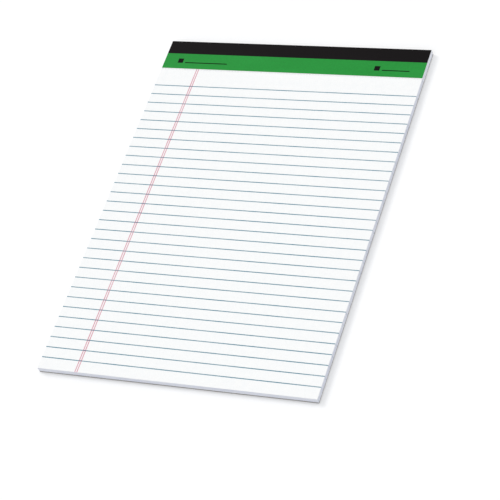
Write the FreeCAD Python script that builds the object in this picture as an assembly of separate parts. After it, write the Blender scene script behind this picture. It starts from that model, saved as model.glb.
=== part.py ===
import FreeCAD, Part
import math
import os

# A letter-size writing pad: ruled, perforated sheets on a grey backing board, wire-stitched through
# the head and closed by a folded header strip. Millimetres; X runs across the page, Y from the foot
# to the head, Z up. The origin is under the middle of the pad, on the surface it lies on.

# Paper
SHEET_WIDTH = 215.9
TORN_SHEET_LENGTH = 279.4
SHEET_COUNT = 50
SHEET_THICKNESS = 0.084
HEAD_EDGE_RADIUS = 0.35

# Perforation, one row of cuts just below the header strip
PERFORATION_BELOW_STRIP = 0.8
CUT_LENGTH = 1.6
CUT_WIDTH = 0.2
TIE_LENGTH = 0.8

# Printed ruling, drawn as flush inlays because a solid needs some depth
INK_DEPTH = 0.03
RULE_PITCH = 8.731
RULE_WIDTH = 0.8
FIRST_RULE_BELOW_PERFORATION = 16.6
FOOT_MARGIN = 6.0
MARGIN_FROM_LEFT = 31.25
MARGIN_LINE_WIDTH = 0.8
MARGIN_LINE_SPACING = 1.6

# Backing board
BOARD_THICKNESS = 0.76

# Header strip, printed dark with a green band along its lower edge
STRIP_THICKNESS = 0.15
FRONT_FLAP = 27.8
BACK_FLAP = 22.0
GREEN_BAND_HEIGHT = 15.0

# Wire stitches, bent from flat wire
STITCH_COUNT = 3
STITCH_SPACING = 72.0
STITCH_FROM_HEAD = 8.0
WIRE_WIDTH = 0.7
WIRE_THICKNESS = 0.4
CROWN_LENGTH = 12.7
CLINCH_LENGTH = 4.5
WIRE_BEND_RADIUS = 0.8
STITCH_CLEARANCE = 0.03

# Worked out from the sizes above
stub_length = FRONT_FLAP - STRIP_THICKNESS + PERFORATION_BELOW_STRIP
paper_length = TORN_SHEET_LENGTH + stub_length
pad_length = paper_length + STRIP_THICKNESS
foot_y = -pad_length / 2
head_y = foot_y + paper_length
left_x = -SHEET_WIDTH / 2
board_bottom = STRIP_THICKNESS
board_top = board_bottom + BOARD_THICKNESS
paper_top = board_top + SHEET_COUNT * SHEET_THICKNESS
strip_edge_y = pad_length / 2 - FRONT_FLAP
perforation_y = foot_y + TORN_SHEET_LENGTH
stitch_y = head_y - STITCH_FROM_HEAD


def box(x, y, z, length, width, height):
    return Part.makeBox(length, width, height, FreeCAD.Vector(x, y, z))


def profile_in_yz(points_and_arcs, x, length):
    """A closed outline in the YZ plane, pushed along X. Each item is a straight run (two points) or
    an arc (three points, the middle one on the arc)."""
    edges = []
    for item in points_and_arcs:
        corners = [FreeCAD.Vector(x, y, z) for y, z in item]
        if len(corners) == 2:
            edges.append(Part.LineSegment(*corners).toShape())
        else:
            edges.append(Part.Arc(*corners).toShape())
    return Part.Face(Part.Wire(edges)).extrude(FreeCAD.Vector(length, 0, 0))


def on_arc(centre_y, centre_z, radius, degrees):
    angle = math.radians(degrees)
    return (centre_y + radius * math.cos(angle), centre_z + radius * math.sin(angle))


def paper_block():
    """The trimmed stack of sheets, its top head edge pressed round under the strip."""
    r = HEAD_EDGE_RADIUS
    centre = (head_y - r, paper_top - r)
    outline = [
        [(foot_y, board_top), (head_y, board_top)],
        [(head_y, board_top), (head_y, paper_top - r)],
        [(head_y, paper_top - r), on_arc(*centre, r, 45), (head_y - r, paper_top)],
        [(head_y - r, paper_top), (foot_y, paper_top)],
        [(foot_y, paper_top), (foot_y, board_top)],
    ]
    return profile_in_yz(outline, left_x, SHEET_WIDTH)


def perforation_cuts():
    """A row of cuts through every sheet; the two end cuts run out through the edges."""
    pitch = CUT_LENGTH + TIE_LENGTH
    count = int((SHEET_WIDTH + TIE_LENGTH) // pitch)
    first_x = -(count * pitch - TIE_LENGTH) / 2
    last = count - 1
    cuts = []
    for i in range(count):
        start = left_x if i == 0 else first_x + i * pitch
        end = -left_x if i == last else first_x + i * pitch + CUT_LENGTH
        cuts.append(
            box(start, perforation_y - CUT_WIDTH / 2, board_top, end - start, CUT_WIDTH,
                paper_top - board_top)
        )
    return Part.makeCompound(cuts)


def margin_lines(cuts):
    """Two upright lines down the left margin, from the strip to the foot."""
    z = paper_top - INK_DEPTH
    lines = []
    for side in (-1, 1):
        centre = left_x + MARGIN_FROM_LEFT + side * MARGIN_LINE_SPACING / 2
        lines.append(
            box(centre - MARGIN_LINE_WIDTH / 2, foot_y, z, MARGIN_LINE_WIDTH,
                strip_edge_y - foot_y, INK_DEPTH)
        )
    return Part.makeCompound(lines).cut(cuts)


def rules(margins):
    """Rules across the whole page, broken where the margin lines cross them."""
    z = paper_top - INK_DEPTH
    first_y = perforation_y - FIRST_RULE_BELOW_PERFORATION
    count = int((first_y - foot_y - FOOT_MARGIN) // RULE_PITCH) + 1
    lines = [
        box(left_x, first_y - i * RULE_PITCH - RULE_WIDTH / 2, z, SHEET_WIDTH, RULE_WIDTH, INK_DEPTH)
        for i in range(count)
    ]
    return Part.makeCompound(lines).cut(margins)


def rounded_block(x, length, width, low, high, radius):
    """A block centred on x and on the stitch line, its four edges along Y rounded."""
    block = box(x - length / 2, stitch_y - width / 2, low, length, width, high - low)
    along_y = [edge for edge in block.Edges if edge.BoundBox.YLength > width / 2]
    return block.makeFillet(radius, along_y)


def stitch(x, extra=0.0):
    """One flat wire: a crown under the strip, two legs through the pad, and ends bent inwards
    inside the board. With extra it is the room for that wire, larger by this much all round."""
    low = board_bottom + STITCH_CLEARANCE - extra
    high = paper_top - STITCH_CLEARANCE + extra
    width = WIRE_WIDTH + 2 * extra
    wall = WIRE_THICKNESS + 2 * extra
    length = CROWN_LENGTH + 2 * extra
    radius = WIRE_BEND_RADIUS + extra
    between_ends = CROWN_LENGTH - 2 * (CLINCH_LENGTH + extra)
    outer = rounded_block(x, length, width, low, high, radius)
    inner = rounded_block(x, length - 2 * wall, width, low + wall, high - wall, radius - wall)
    gap = box(x - between_ends / 2, stitch_y - width / 2, low, between_ends, width, wall)
    return outer.cut([inner, gap])


def stitches(extra=0.0):
    first = -(STITCH_COUNT - 1) / 2 * STITCH_SPACING
    return [stitch(first + i * STITCH_SPACING, extra) for i in range(STITCH_COUNT)]


def backing_board(room):
    r = HEAD_EDGE_RADIUS
    centre = (head_y - r, board_bottom + r)
    outline = [
        [(foot_y, board_bottom), (head_y - r, board_bottom)],
        [(head_y - r, board_bottom), on_arc(*centre, r, -45), (head_y, board_bottom + r)],
        [(head_y, board_bottom + r), (head_y, board_top)],
        [(head_y, board_top), (foot_y, board_top)],
        [(foot_y, board_top), (foot_y, board_bottom)],
    ]
    return profile_in_yz(outline, left_x, SHEET_WIDTH).cut(room)


def header_strip(green_band):
    """One strip folded over the head: front flap, spine and back flap, glued flat all round."""
    inner = HEAD_EDGE_RADIUS
    outer = inner + STRIP_THICKNESS
    spine = head_y + STRIP_THICKNESS
    top = paper_top + STRIP_THICKNESS
    bend_y = head_y - inner
    high = (bend_y, paper_top - inner)
    low = (bend_y, board_bottom + inner)
    back_edge_y = spine - BACK_FLAP
    outline = [
        [(strip_edge_y, paper_top), (strip_edge_y, top)],
        [(strip_edge_y, top), (bend_y, top)],
        [(bend_y, top), on_arc(*high, outer, 45), (spine, high[1])],
        [(spine, high[1]), (spine, low[1])],
        [(spine, low[1]), on_arc(*low, outer, -45), (bend_y, 0)],
        [(bend_y, 0), (back_edge_y, 0)],
        [(back_edge_y, 0), (back_edge_y, board_bottom)],
        [(back_edge_y, board_bottom), (bend_y, board_bottom)],
        [(bend_y, board_bottom), on_arc(*low, inner, -45), (head_y, low[1])],
        [(head_y, low[1]), (head_y, high[1])],
        [(head_y, high[1]), on_arc(*high, inner, 45), (bend_y, paper_top)],
        [(bend_y, paper_top), (strip_edge_y, paper_top)],
    ]
    return profile_in_yz(outline, left_x, SHEET_WIDTH).cut(green_band)


def header_band():
    """The green field printed along the lower edge of the front flap."""
    top = paper_top + STRIP_THICKNESS
    return box(left_x, strip_edge_y, top - INK_DEPTH, SHEET_WIDTH, GREEN_BAND_HEIGHT, INK_DEPTH)


def build():
    cuts = perforation_cuts()
    margins = margin_lines(cuts)
    blue = rules(margins)
    room = stitches(STITCH_CLEARANCE)
    band = header_band()
    return {
        "ruled_sheets": paper_block().cut([cuts, margins, blue] + room),
        "page_rules": blue,
        "margin_lines": margins,
        "backing_board": backing_board(room),
        "binding_stitches": Part.makeCompound(stitches()),
        "header_strip": header_strip(band),
        "header_band": band,
    }


os.makedirs("parts", exist_ok=True)
for name, shape in build().items():
    shape.exportStep(f"parts/{name}.step")
    print(name, "solids", len(shape.Solids), "valid", shape.isValid(), "mm3", round(shape.Volume, 2))
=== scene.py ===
import math
import random

import bpy
from mathutils import Matrix, Vector


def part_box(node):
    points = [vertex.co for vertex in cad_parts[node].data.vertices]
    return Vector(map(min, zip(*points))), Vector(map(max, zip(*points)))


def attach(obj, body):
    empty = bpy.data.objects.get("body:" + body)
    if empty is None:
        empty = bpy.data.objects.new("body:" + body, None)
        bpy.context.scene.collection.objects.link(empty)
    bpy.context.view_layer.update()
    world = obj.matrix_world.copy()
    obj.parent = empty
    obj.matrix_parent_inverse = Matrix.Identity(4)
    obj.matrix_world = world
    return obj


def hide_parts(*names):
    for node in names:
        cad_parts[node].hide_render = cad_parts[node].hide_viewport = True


# A ruled writing pad lying on a white table. Metres, in the frame of the CAD model: X runs across
# the page, Y from the foot to the head, Z up.

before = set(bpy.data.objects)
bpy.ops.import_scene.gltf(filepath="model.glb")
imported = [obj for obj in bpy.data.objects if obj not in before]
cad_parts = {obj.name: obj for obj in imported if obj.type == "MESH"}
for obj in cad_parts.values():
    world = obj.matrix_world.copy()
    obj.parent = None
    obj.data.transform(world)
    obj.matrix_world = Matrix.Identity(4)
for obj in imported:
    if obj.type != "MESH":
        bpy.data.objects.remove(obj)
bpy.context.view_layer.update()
chance = random.Random(11)

MM = 0.001

# Places worked out from the frame
block_low, block_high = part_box("ruled_sheets")
board_low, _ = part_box("backing_board")
_, strip_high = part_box("header_strip")
band_low, band_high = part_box("header_band")
rules_low, rules_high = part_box("page_rules")
margin_low, margin_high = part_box("margin_lines")

# Sizes of the sheets and their print that the boxes don't give
SHEET_COUNT = 50
TORN_SHEET_LENGTH = 279.4 * MM
CUT_LENGTH = 1.6 * MM
CUT_WIDTH = 0.2 * MM
TIE_LENGTH = 0.8 * MM
HEAD_EDGE_RADIUS = 0.35 * MM
RULE_PITCH = 8.731 * MM
RULE_WIDTH = 0.8 * MM
MARGIN_LINE_WIDTH = 0.8 * MM

# How the trimmed sheets lie: small shifts of single sheets and of bunches, which die away over the
# loose length towards the bound head
SHEET_SHIFT = 0.04 * MM
BUNCH_SHIFT = 0.12 * MM
BUNCH_SIZES = (3, 9)
SHEET_AIR = 0.004 * MM
LOOSE_LENGTH = 40 * MM
BOUND_SHARE = 0.3
# Share of the sheets drawn in the darker paper copy, painted shade on the stack's side
PAINTED_SHADE_SHEETS = 0.3

# The top sheets have every cut modelled; the ones below only the two cuts that run out at the edges
FULLY_CUT_SHEETS = 6

perforation_y = block_low.y + TORN_SHEET_LENGTH


# Materials

def linear(red, green, blue):
    """A colour written as 0 to 255, as it looks, in the linear values that a shader takes."""
    parts = []
    for value in (red, green, blue):
        share = value / 255
        parts.append(share / 12.92 if share <= 0.04045 else ((share + 0.055) / 1.055) ** 2.4)
    return (*parts, 1.0)


class Recipe:
    """A material's nodes, added one by one and joined by name."""

    def __init__(self, name):
        self.material = bpy.data.materials.new(name)
        self.material.use_nodes = True
        self.tree = self.material.node_tree
        self.shader = self.tree.nodes["Principled BSDF"]
        self.place = self.add("ShaderNodeTexCoord").outputs["Object"]

    def add(self, kind, **settings):
        node = self.tree.nodes.new(kind)
        for key, value in settings.items():
            setattr(node, key, value)
        return node

    def join(self, output, socket):
        self.tree.links.new(output, socket)

    def stretched(self, x, y, z):
        """Object coordinates, scaled by these amounts."""
        mapping = self.add("ShaderNodeMapping")
        mapping.inputs["Scale"].default_value = (x, y, z)
        self.join(self.place, mapping.inputs["Vector"])
        return mapping.outputs["Vector"]

    def noise(self, vector, scale, detail=3.0, roughness=0.5):
        node = self.add("ShaderNodeTexNoise")
        self.join(vector, node.inputs["Vector"])
        node.inputs["Scale"].default_value = scale
        node.inputs["Detail"].default_value = detail
        node.inputs["Roughness"].default_value = roughness
        return node.outputs["Fac"]

    def ramp(self, factor, stops):
        """Colours by position: stops is a list of (position, colour)."""
        node = self.add("ShaderNodeValToRGB")
        elements = node.color_ramp.elements
        while len(elements) < len(stops):
            elements.new(0.5)
        for element, (position, colour) in zip(elements, stops):
            element.position = position
            element.color = colour
        self.join(factor, node.inputs["Fac"])
        return node.outputs["Color"]

    def blend(self, kind, factor, first, second):
        """Mix two colours; each is an output or a plain colour."""
        node = self.add("ShaderNodeMix", data_type="RGBA", blend_type=kind)
        sockets = (node.inputs[0], node.inputs[6], node.inputs[7])
        for socket, value in zip(sockets, (factor, first, second)):
            if isinstance(value, bpy.types.NodeSocket):
                self.join(value, socket)
            else:
                socket.default_value = value
        return node.outputs[2]

    def spread(self, factor, low, high):
        """A plain number that follows the factor from low to high."""
        node = self.add("ShaderNodeMapRange")
        node.inputs["To Min"].default_value = low
        node.inputs["To Max"].default_value = high
        self.join(factor, node.inputs["Value"])
        return node.outputs["Result"]

    def calculate(self, operation, first, second):
        """One step of arithmetic on an output and a plain number."""
        node = self.add("ShaderNodeMath", operation=operation)
        self.join(first, node.inputs[0])
        node.inputs[1].default_value = second
        return node.outputs[0]

    def rule_ends(self):
        """How much ink shows on a sheet's edge: a little where each printed rule runs off it."""
        axes = self.add("ShaderNodeSeparateXYZ")
        self.join(self.place, axes.inputs[0])
        above_first = self.calculate("SUBTRACT", axes.outputs["Y"], rules_low.y)
        steps = self.calculate("DIVIDE", above_first, RULE_PITCH)
        part = self.calculate("FRACT", steps, 0)
        on_rule = self.calculate("LESS_THAN", part, RULE_WIDTH / RULE_PITCH)
        ruled = self.calculate("LESS_THAN", axes.outputs["Y"], rules_high.y)
        both = self.add("ShaderNodeMath", operation="MULTIPLY")
        self.join(on_rule, both.inputs[0])
        self.join(ruled, both.inputs[1])
        return self.calculate("MULTIPLY", both.outputs[0], INK_ON_EDGE)

    def bump(self, height, strength, distance):
        node = self.add("ShaderNodeBump")
        node.inputs["Strength"].default_value = strength
        node.inputs["Distance"].default_value = distance
        self.join(height, node.inputs["Height"])
        self.join(node.outputs["Normal"], self.shader.inputs["Normal"])


def paper(name, light, dark, stacked=False):
    """Uncoated paper: fine fibre clouds in its colour, a soft tooth and almost no gloss. Stacked
    sheets also get painted shade, darker streaks one by one along their edges, where the ends of the
    rules show."""
    recipe = Recipe(name)
    clouds = recipe.noise(recipe.stretched(1, 1, 1), 220, 4)
    fibres = recipe.noise(recipe.stretched(1.0, 0.35, 1.0), 2600, 4, 0.65)
    tone = recipe.ramp(clouds, [(0.3, dark), (0.7, light)])
    speck = recipe.ramp(fibres, [(0.25, (0.93, 0.93, 0.93, 1)), (0.55, (1, 1, 1, 1))])
    colour = recipe.blend("MULTIPLY", 1.0, tone, speck)
    if stacked:
        # Painted shade: darker streaks sheet by sheet on the edges, standing in for the shade in the
        # gaps between sheets
        painted_gap_streaks = recipe.noise(recipe.stretched(14, 14, 6000), 1.0, 3, 0.6)
        shade = recipe.ramp(painted_gap_streaks, [(0.34, PAINTED_EDGE_SHADE), (0.56, (1, 1, 1, 1))])
        colour = recipe.blend("MULTIPLY", 1.0, colour, shade)
        colour = recipe.blend("MIX", recipe.rule_ends(), colour, BLUE_INK)
    recipe.join(colour, recipe.shader.inputs["Base Color"])
    recipe.join(recipe.spread(fibres, 0.82, 0.96), recipe.shader.inputs["Roughness"])
    recipe.shader.inputs["Specular IOR Level"].default_value = 0.25
    recipe.bump(fibres, 0.35, 0.00004)
    return recipe.material


def ink(name, colour, paper_colour):
    """A printed line: thin ink that lets a little paper through where the fibres stand up."""
    recipe = Recipe(name)
    fibres = recipe.noise(recipe.stretched(1, 1, 1), 2600, 4, 0.65)
    long_drift = recipe.noise(recipe.stretched(1, 1, 1), 45, 2)
    cover = recipe.ramp(fibres, [(0.3, (0.55, 0.55, 0.55, 1)), (0.5, (1, 1, 1, 1))])
    drift = recipe.ramp(long_drift, [(0.3, (0.85, 0.85, 0.85, 1)), (0.6, (1, 1, 1, 1))])
    amount = recipe.blend("MULTIPLY", 1.0, cover, drift)
    recipe.join(recipe.blend("MIX", amount, paper_colour, colour), recipe.shader.inputs["Base Color"])
    recipe.join(recipe.spread(fibres, 0.7, 0.9), recipe.shader.inputs["Roughness"])
    recipe.shader.inputs["Specular IOR Level"].default_value = 0.3
    recipe.bump(fibres, 0.3, 0.00004)
    return recipe.material


def coated_print(name, light, dark, gloss=0.12):
    """Solid print on smooth strip paper: a satin film with faint mottling and a fine tooth."""
    recipe = Recipe(name)
    mottle = recipe.noise(recipe.stretched(1, 1, 1), 700, 5, 0.6)
    drift = recipe.noise(recipe.stretched(0.4, 1, 1), 25, 2)
    tone = recipe.ramp(drift, [(0.3, dark), (0.7, light)])
    grain = recipe.ramp(mottle, [(0.3, (0.88, 0.88, 0.88, 1)), (0.65, (1, 1, 1, 1))])
    recipe.join(recipe.blend("MULTIPLY", 1.0, tone, grain), recipe.shader.inputs["Base Color"])
    recipe.join(recipe.spread(mottle, 0.42, 0.6), recipe.shader.inputs["Roughness"])
    recipe.shader.inputs["Specular IOR Level"].default_value = gloss
    recipe.bump(mottle, 0.18, 0.00005)
    return recipe.material


def chipboard(name):
    """Recycled grey board: pale and dark flecks in a felted grey, laid in plies at its edge."""
    recipe = Recipe(name)
    felt = recipe.noise(recipe.stretched(1, 0.5, 6), 1100, 6, 0.7)
    flecks = recipe.noise(recipe.stretched(1, 1, 3), 1300, 2, 0.4)
    clouds = recipe.noise(recipe.stretched(1, 1, 1), 40, 3)
    tone = recipe.ramp(felt, [(0.3, linear(124, 120, 115)), (0.7, linear(160, 156, 150))])
    dark = recipe.ramp(flecks, [(0.29, (0.4, 0.4, 0.4, 1)), (0.36, (1, 1, 1, 1))])
    pale = recipe.ramp(flecks, [(0.64, (0, 0, 0, 1)), (0.72, (0.55, 0.55, 0.55, 1))])
    shade = recipe.ramp(clouds, [(0.3, (0.94, 0.94, 0.94, 1)), (0.7, (1, 1, 1, 1))])
    colour = recipe.blend("MULTIPLY", 1.0, tone, dark)
    colour = recipe.blend("MULTIPLY", 1.0, colour, shade)
    colour = recipe.blend("MIX", pale, colour, linear(196, 190, 182))
    recipe.join(colour, recipe.shader.inputs["Base Color"])
    recipe.join(recipe.spread(felt, 0.8, 0.97), recipe.shader.inputs["Roughness"])
    recipe.shader.inputs["Specular IOR Level"].default_value = 0.2
    recipe.bump(felt, 0.5, 0.00006)
    return recipe.material


def drawn_wire(name):
    """Bright stitching wire with fine drawing lines along it."""
    recipe = Recipe(name)
    lines = recipe.noise(recipe.stretched(60, 4000, 60), 1.0, 3)
    tone = recipe.ramp(lines, [(0.3, linear(148, 148, 152)), (0.7, linear(196, 196, 200))])
    recipe.join(tone, recipe.shader.inputs["Base Color"])
    recipe.join(recipe.spread(lines, 0.25, 0.45), recipe.shader.inputs["Roughness"])
    recipe.shader.inputs["Metallic"].default_value = 1.0
    recipe.bump(lines, 0.1, 0.00002)
    return recipe.material


PAPER_LIGHT = linear(252, 252, 251)
PAPER_DARK = linear(249, 250, 250)
# Painted shade: the colour of the darker streaks between sheets on the stack's edges
PAINTED_EDGE_SHADE = linear(230, 232, 242)
BLUE_INK = linear(72, 128, 148)
RED_INK = linear(216, 148, 164)
CROSSED_INK = linear(112, 84, 118)
INK_ON_EDGE = 0.16

page_paper = paper("page_paper", PAPER_LIGHT, PAPER_DARK)
# The sheets' edges and undersides: the page's own paper, a touch darker and bluer, as painted cool
# shade
sheet_paper = paper("sheet_paper", linear(250, 251, 254), linear(246, 248, 253), stacked=True)
# A darker, bluer copy of the sheet paper: painted shade for some sheets on the stack's side
painted_shade_paper = paper("painted_shade_paper", linear(243, 244, 249), linear(238, 240, 247), stacked=True)
blue_ink = ink("blue_ink", BLUE_INK, PAPER_LIGHT)
red_ink = ink("red_ink", RED_INK, PAPER_LIGHT)
crossed_ink = ink("crossed_ink", CROSSED_INK, PAPER_LIGHT)
black_print = coated_print("black_print", linear(20, 15, 17), linear(14, 11, 12), gloss=0.05)
green_print = coated_print("green_print", linear(36, 152, 60), linear(28, 142, 52))
write_on_ink = coated_print("write_on_ink", linear(12, 15, 12), linear(8, 10, 8), gloss=0.05)
strip_reverse = paper("strip_reverse", linear(226, 226, 224), linear(216, 216, 214))
grey_board = chipboard("grey_board")
steel_wire = drawn_wire("steel_wire")


# Mesh helpers

class Maker:
    """Collects vertices and faces with their material, then makes one object of them."""

    def __init__(self, name, materials):
        self.name = name
        self.materials = materials
        self.vertices = []
        self.faces = []
        self.slots = []

    def vertex(self, x, y, z):
        self.vertices.append((x, y, z))
        return len(self.vertices) - 1

    def face(self, corners, material):
        self.faces.append(corners)
        self.slots.append(self.materials.index(material))

    def finish(self, smooth_angle=None):
        mesh = bpy.data.meshes.new(self.name)
        mesh.from_pydata(self.vertices, [], self.faces)
        for material in self.materials:
            mesh.materials.append(material)
        mesh.polygons.foreach_set("material_index", self.slots)
        mesh.validate()
        if smooth_angle is not None:
            mesh.shade_smooth()
            mesh.set_sharp_from_angle(angle=smooth_angle)
        mesh.update()
        piece = bpy.data.objects.new(self.name, mesh)
        bpy.context.scene.collection.objects.link(piece)
        return piece


def thin_sheet(maker, xs, ys, missing, place, material_at, edge_material):
    """A thin closed sheet over the grid lines xs and ys, open where cells are missing. place gives
    a corner's position from x, y and a level, 0 below and 1 above."""
    columns = len(xs) - 1
    rows = len(ys) - 1
    made = {}

    def corner(i, j, level):
        key = (i, j, level)
        if key not in made:
            made[key] = maker.vertex(*place(xs[i], ys[j], level))
        return made[key]

    def solid(i, j):
        return 0 <= i < columns and 0 <= j < rows and (i, j) not in missing

    for i in range(columns):
        for j in range(rows):
            if not solid(i, j):
                continue
            around = [(i, j), (i + 1, j), (i + 1, j + 1), (i, j + 1)]
            maker.face([corner(a, b, 1) for a, b in around], material_at(i, j))
            maker.face([corner(a, b, 0) for a, b in reversed(around)], edge_material)
            beside = [(i, j - 1), (i + 1, j), (i, j + 1), (i - 1, j)]
            for side, neighbour in enumerate(beside):
                if solid(*neighbour):
                    continue
                a, b = around[side], around[(side + 1) % 4]
                wall = [corner(*a, 0), corner(*b, 0), corner(*b, 1), corner(*a, 1)]
                maker.face(wall, edge_material)


# The sheets

def perforation_spans():
    """The cuts' ends along X; the two end cuts run out through the page's edges."""
    width = block_high.x - block_low.x
    pitch = CUT_LENGTH + TIE_LENGTH
    count = int((width + TIE_LENGTH) // pitch)
    first = -(count * pitch - TIE_LENGTH) / 2
    spans = [[first + i * pitch, first + i * pitch + CUT_LENGTH] for i in range(count)]
    spans[0][0] = block_low.x
    spans[-1][1] = block_high.x
    return spans


def rule_spans():
    count = round((rules_high.y - rules_low.y - RULE_WIDTH) / RULE_PITCH) + 1
    return [(rules_low.y + i * RULE_PITCH, rules_low.y + i * RULE_PITCH + RULE_WIDTH)
            for i in range(count)]


def margin_spans():
    return [(margin_low.x, margin_low.x + MARGIN_LINE_WIDTH),
            (margin_high.x - MARGIN_LINE_WIDTH, margin_high.x)]


def inside(value, spans):
    return any(low < value < high for low, high in spans)


def even_steps(low, high, step):
    count = max(1, round((high - low) / step))
    return [low + (high - low) * i / count for i in range(1, count)]


def head_reach(z):
    """How far the paper goes towards the head at this height, round the pressed head edge."""
    rise = z - (block_high.z - HEAD_EDGE_RADIUS)
    if rise <= 0:
        return block_high.y
    inset = HEAD_EDGE_RADIUS - math.sqrt(max(0, HEAD_EDGE_RADIUS ** 2 - rise ** 2))
    return block_high.y - inset


thickness = (block_high.z - block_low.z) / SHEET_COUNT
cuts = perforation_spans()
slit = (perforation_y - CUT_WIDTH / 2, perforation_y + CUT_WIDTH / 2)


def sheet_drifts():
    """Each sheet's small sideways shift: bunches that were trimmed together step a little."""
    drifts = []
    bunch = (0.0, 0.0)
    left = 0
    for _ in range(SHEET_COUNT):
        if left == 0:
            left = chance.randint(*BUNCH_SIZES)
            bunch = (chance.uniform(-BUNCH_SHIFT, BUNCH_SHIFT),
                     chance.uniform(-BUNCH_SHIFT, BUNCH_SHIFT))
        left -= 1
        drifts.append((bunch[0] + chance.uniform(-SHEET_SHIFT, SHEET_SHIFT),
                       bunch[1] + chance.uniform(-SHEET_SHIFT, SHEET_SHIFT)))
    drifts[-1] = (0.0, 0.0)
    return drifts


def placing(index, drift):
    """How one sheet of the stack lies: its own height, and a shift that dies away at the head."""
    low = block_low.z + index * thickness
    levels = (low + SHEET_AIR / 2, low + thickness - SHEET_AIR / 2)
    if index == SHEET_COUNT - 1:
        levels = (low + SHEET_AIR / 2, block_high.z)
    reach = head_reach(levels[1])

    def place(x, y, level):
        loose = min(1.0, max(0.0, (reach - y) / LOOSE_LENGTH))
        along = min(y + drift[1] * loose, reach)
        sideways = drift[0] * (BOUND_SHARE + (1 - BOUND_SHARE) * loose)
        return (x + sideways, along, levels[level])

    return place


def ruled_page():
    """The top sheet, with its perforation cut through and its print laid in as flush fields."""
    across = {block_low.x, block_high.x}
    for low, high in cuts + margin_spans():
        across.update((low, high))
    along = {block_low.y, block_high.y, *slit, band_low.y}
    for low, high in rule_spans():
        along.update((low, high))
    xs = sorted(across)
    ys = sorted(along)
    missing = set()
    slit_row = ys.index(slit[0])
    for i in range(len(xs) - 1):
        if inside((xs[i] + xs[i + 1]) / 2, cuts):
            missing.add((i, slit_row))

    def material_at(i, j):
        x = (xs[i] + xs[i + 1]) / 2
        y = (ys[j] + ys[j + 1]) / 2
        on_margin = y < band_low.y and inside(x, margin_spans())
        on_rule = inside(y, rule_spans())
        if on_margin and on_rule:
            return crossed_ink
        if on_margin:
            return red_ink
        return blue_ink if on_rule else page_paper

    maker = Maker("ruled_page", [page_paper, blue_ink, red_ink, crossed_ink, sheet_paper])
    place = placing(SHEET_COUNT - 1, (0.0, 0.0))
    thin_sheet(maker, xs, ys, missing, place, material_at, sheet_paper)
    return maker.finish()


def lower_sheets(drifts):
    """The forty-nine sheets under the page, each thin and closed; some darker, as painted shade."""
    maker = Maker("lower_sheets", [sheet_paper, painted_shade_paper])
    below_top = SHEET_COUNT - 1
    for index in range(below_top):
        used = cuts if index >= below_top - FULLY_CUT_SHEETS else [cuts[0], cuts[-1]]
        across = {block_low.x, block_high.x}
        for low, high in used:
            across.update((low, high))
        xs = sorted(across)
        ys = sorted({block_low.y, block_high.y - LOOSE_LENGTH, block_high.y, *slit})
        slit_row = ys.index(slit[0])
        missing = set()
        for i in range(len(xs) - 1):
            if inside((xs[i] + xs[i + 1]) / 2, used):
                missing.add((i, slit_row))
        # Painted shade: about a third of the sheets take the darker paper copy
        tone = painted_shade_paper if chance.random() < PAINTED_SHADE_SHEETS else sheet_paper
        thin_sheet(maker, xs, ys, missing, placing(index, drifts[index]),
                   lambda i, j, tone=tone: tone, tone)
    return maker.finish()


# The header strip

STITCH_COUNT = 3
STITCH_SPACING = 72.0 * MM
STITCH_FROM_HEAD = 8.0 * MM
CROWN_LENGTH = 12.7 * MM
CROWN_SWELL = 0.11 * MM
CROWN_REACH = 0.9 * MM
FLAP_RIPPLE = 0.03 * MM
RIPPLE_REACH = 6 * MM
RIPPLE_WAVES = (62, 23)
STRIP_THICKNESS = strip_high.z - block_high.z
BACK_FLAP = 22.0 * MM
FOLD_STEPS = 6
STRIP_STEP_X = 1.6 * MM
STRIP_STEP_FRONT = 1.2 * MM
STRIP_STEP_BACK = 3 * MM
SMOOTH_BELOW = math.radians(40)

# Plain write-on lines on the green band, each after a small solid square
MARK_FROM_EDGE = 11.7 * MM
MARK_SIZE = 4.4 * MM
MARK_GAP = 2.0 * MM
LINE_LENGTHS = (36.0 * MM, 22.0 * MM)
LINE_ABOVE_EDGE = 5.6 * MM
LINE_WIDTH = 0.9 * MM


def strip_section(offset):
    """The strip's section from the front flap's edge round the head to the back flap's edge, at
    this offset out from the paper: points in Y and Z, and how many of them are on the front."""
    radius = HEAD_EDGE_RADIUS + offset
    bend_y = block_high.y - HEAD_EDGE_RADIUS
    high = (bend_y, block_high.z - HEAD_EDGE_RADIUS)
    low = (bend_y, board_low.z + HEAD_EDGE_RADIUS)
    rows = {band_low.y, band_high.y, *even_steps(band_low.y, bend_y, STRIP_STEP_FRONT)}
    for _, low_y, _, high_y in write_on_fields():
        rows.update((low_y, high_y))
    front = sorted(rows)
    points = [(y, block_high.z + offset) for y in front]
    for centre, start in ((high, 90), (low, 0)):
        for step in range(FOLD_STEPS + 1):
            turn = math.radians(start - 90 * step / FOLD_STEPS)
            points.append((centre[0] + radius * math.cos(turn), centre[1] + radius * math.sin(turn)))
    back_edge = strip_high.y - BACK_FLAP
    for y in reversed(even_steps(back_edge, bend_y, STRIP_STEP_BACK)):
        points.append((y, board_low.z - offset))
    points.append((back_edge, board_low.z - offset))
    return points, len(front)


def write_on_fields():
    """The squares and lines as rectangles: low X, low Y, high X, high Y."""
    low = band_low.y + LINE_ABOVE_EDGE
    starts = (block_low.x + MARK_FROM_EDGE,
              block_high.x - MARK_FROM_EDGE - MARK_SIZE - MARK_GAP - LINE_LENGTHS[1])
    fields = []
    for start, length in zip(starts, LINE_LENGTHS):
        line = start + MARK_SIZE + MARK_GAP
        fields.append((start, low, start + MARK_SIZE, low + MARK_SIZE))
        fields.append((line, low, line + length, low + LINE_WIDTH))
    return fields


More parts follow.
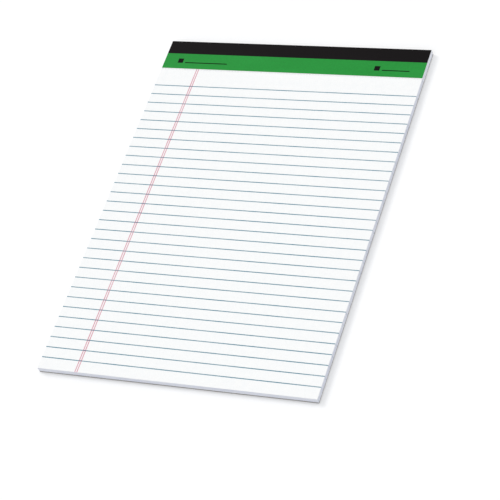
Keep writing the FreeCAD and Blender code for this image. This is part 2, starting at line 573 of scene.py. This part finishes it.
def crown_swell(x, y):
    """How much the strip is raised where a wire's crown presses up from below."""
    first = -(STITCH_COUNT - 1) / 2 * STITCH_SPACING
    rise = 0.0
    for i in range(STITCH_COUNT):
        centre = first + i * STITCH_SPACING
        past = max(0.0, abs(x - centre) - CROWN_LENGTH / 2)
        away = math.hypot(past, y - (block_high.y - STITCH_FROM_HEAD)) / CROWN_REACH
        rise = max(rise, math.exp(-away * away))
    return CROWN_SWELL * rise


def ripple(x, y):
    """How much the front flap lifts in slow waves, most at its edge."""
    edge = max(0.0, 1 - (y - band_low.y) / RIPPLE_REACH)
    long_wave, longer_wave = RIPPLE_WAVES
    return FLAP_RIPPLE * edge * (0.5 + 0.5 * math.sin(x * long_wave) * math.sin(x * longer_wave + 1.3))


def header_strip():
    """The folded strip: a closed skin round its section, its front printed in fields."""
    across = {block_low.x, block_high.x, *even_steps(block_low.x, block_high.x, STRIP_STEP_X)}
    for low_x, _, high_x, _ in write_on_fields():
        across.update((low_x, high_x))
    xs = sorted(across)
    inner, front = strip_section(0.0)
    outer, _ = strip_section(STRIP_THICKNESS)
    maker = Maker("header_strip_print", [black_print, green_print, write_on_ink, strip_reverse])

    def lift(k, x):
        if k >= front:
            return 0.0
        return crown_swell(x, inner[k][0]) + ripple(x, inner[k][0])

    rows = []
    for section in (outer, inner):
        rows.append([[maker.vertex(x, y, z + lift(k, x)) for x in xs]
                     for k, (y, z) in enumerate(section)])
    top, under = rows

    def material_at(k, i):
        if k + 1 >= front:
            return black_print
        y = (inner[k][0] + inner[k + 1][0]) / 2
        x = (xs[i] + xs[i + 1]) / 2
        if y > band_high.y:
            return black_print
        for low_x, low_y, high_x, high_y in write_on_fields():
            if low_x < x < high_x and low_y < y < high_y:
                return write_on_ink
        return green_print

    for k in range(len(inner) - 1):
        for i in range(len(xs) - 1):
            outside = [top[k][i], top[k][i + 1], top[k + 1][i + 1], top[k + 1][i]]
            inside_out = [under[k][i], under[k + 1][i], under[k + 1][i + 1], under[k][i + 1]]
            maker.face(outside, material_at(k, i))
            maker.face(inside_out, strip_reverse)
        for i, flip in ((0, False), (len(xs) - 1, True)):
            wall = [top[k][i], top[k + 1][i], under[k + 1][i], under[k][i]]
            maker.face(wall[::-1] if flip else wall, strip_reverse)
    last = len(inner) - 1
    for i in range(len(xs) - 1):
        front_edge = [top[0][i], under[0][i], under[0][i + 1], top[0][i + 1]]
        back_edge = [top[last][i], top[last][i + 1], under[last][i + 1], under[last][i]]
        maker.face(front_edge, strip_reverse)
        maker.face(back_edge, strip_reverse)
    return maker.finish(SMOOTH_BELOW)


# Put the pieces on the frame

def put(piece, slot, *nodes):
    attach(piece, "root")
    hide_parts(*nodes)


def dress(node, material):
    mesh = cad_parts[node].data
    mesh.materials.clear()
    mesh.materials.append(material)


put(ruled_page(), "white_paper", "page_rules", "margin_lines")
put(lower_sheets(sheet_drifts()), "white_paper", "ruled_sheets")
put(header_strip(), "black_strip", "header_strip", "header_band")
dress("backing_board", grey_board)
dress("binding_stitches", steel_wire)
dress("ruled_sheets", sheet_paper)
dress("page_rules", blue_ink)
dress("margin_lines", red_ink)
dress("header_strip", black_print)
dress("header_band", green_print)


# Floor, light and camera

FLOOR_HALF = 4.0
FLOOR_BELOW = 0.05 * MM
FLOOR_REFLECTS = 0.86
FLOOR_GLOW = 0.16
SKY_LIGHT = 0.82
SUN_STRENGTH = 0.95
SUN_FROM = Vector((-0.75, 0.35, 0.8))
SUN_ANGLE = math.radians(24)

CAMERA_PLACE = Vector((0.6083, -0.7678, 1.0917))
CAMERA_FORWARD = Vector((-0.4093, 0.5085, -0.7576))
CAMERA_RIGHT = Vector((0.9094, 0.2945, -0.2938))
LENS = 144.4
SENSOR = 36.0


def seen_directly(tree):
    """1 on rays from the camera, and through gloss and glass; 0 on rays that light things."""
    path = tree.nodes.new("ShaderNodeLightPath")
    total = path.outputs["Is Camera Ray"]
    for name in ("Is Glossy Ray", "Is Transmission Ray"):
        either = tree.nodes.new("ShaderNodeMath")
        either.operation = "MAXIMUM"
        tree.links.new(total, either.inputs[0])
        tree.links.new(path.outputs[name], either.inputs[1])
        total = either.outputs[0]
    return total


def floor():
    """A white table: plain diffuse white, topped up to full white only as it is seen."""
    mesh = bpy.data.meshes.new("floor")
    size = FLOOR_HALF
    z = -FLOOR_BELOW
    corners = [(-size, -size, z), (size, -size, z), (size, size, z), (-size, size, z)]
    mesh.from_pydata(corners, [], [(0, 1, 2, 3)])
    material = bpy.data.materials.new("floor_white")
    material.use_nodes = True
    tree = material.node_tree
    tree.nodes.clear()
    diffuse = tree.nodes.new("ShaderNodeBsdfDiffuse")
    diffuse.inputs["Color"].default_value = (FLOOR_REFLECTS, FLOOR_REFLECTS, FLOOR_REFLECTS, 1)
    glow = tree.nodes.new("ShaderNodeEmission")
    share = tree.nodes.new("ShaderNodeMath")
    share.operation = "MULTIPLY"
    share.inputs[1].default_value = FLOOR_GLOW
    tree.links.new(seen_directly(tree), share.inputs[0])
    tree.links.new(share.outputs[0], glow.inputs["Strength"])
    both = tree.nodes.new("ShaderNodeAddShader")
    tree.links.new(diffuse.outputs[0], both.inputs[0])
    tree.links.new(glow.outputs[0], both.inputs[1])
    output = tree.nodes.new("ShaderNodeOutputMaterial")
    tree.links.new(both.outputs[0], output.inputs["Surface"])
    mesh.materials.append(material)
    table = bpy.data.objects.new("floor", mesh)
    bpy.context.scene.collection.objects.link(table)


def sky():
    """An even studio light from all round, seen as plain white."""
    world = bpy.data.worlds.new("studio")
    world.use_nodes = True
    tree = world.node_tree
    background = tree.nodes["Background"]
    background.inputs["Color"].default_value = (0.975, 0.985, 1.0, 1)
    strength = tree.nodes.new("ShaderNodeMapRange")
    strength.inputs["To Min"].default_value = SKY_LIGHT
    strength.inputs["To Max"].default_value = 1.0
    tree.links.new(seen_directly(tree), strength.inputs["Value"])
    tree.links.new(strength.outputs["Result"], background.inputs["Strength"])
    bpy.context.scene.world = world


def sun():
    lamp = bpy.data.lights.new("window", "SUN")
    lamp.energy = SUN_STRENGTH
    lamp.angle = SUN_ANGLE
    lamp.color = (1.0, 0.995, 0.98)
    light = bpy.data.objects.new("window", lamp)
    light.rotation_euler = SUN_FROM.to_track_quat("Z", "Y").to_euler()
    bpy.context.scene.collection.objects.link(light)


def camera():
    data = bpy.data.cameras.new("camera")
    data.lens = LENS
    data.sensor_width = SENSOR
    data.clip_start = 0.01
    data.clip_end = 50
    eye = bpy.data.objects.new("camera", data)
    up = CAMERA_RIGHT.cross(CAMERA_FORWARD)
    turn = Matrix((CAMERA_RIGHT, up, -CAMERA_FORWARD)).transposed().to_4x4()
    eye.matrix_world = Matrix.Translation(CAMERA_PLACE) @ turn
    bpy.context.scene.collection.objects.link(eye)
    bpy.context.scene.camera = eye


floor()
sky()
sun()
camera()
bpy.context.scene.view_settings.view_transform = "Standard"
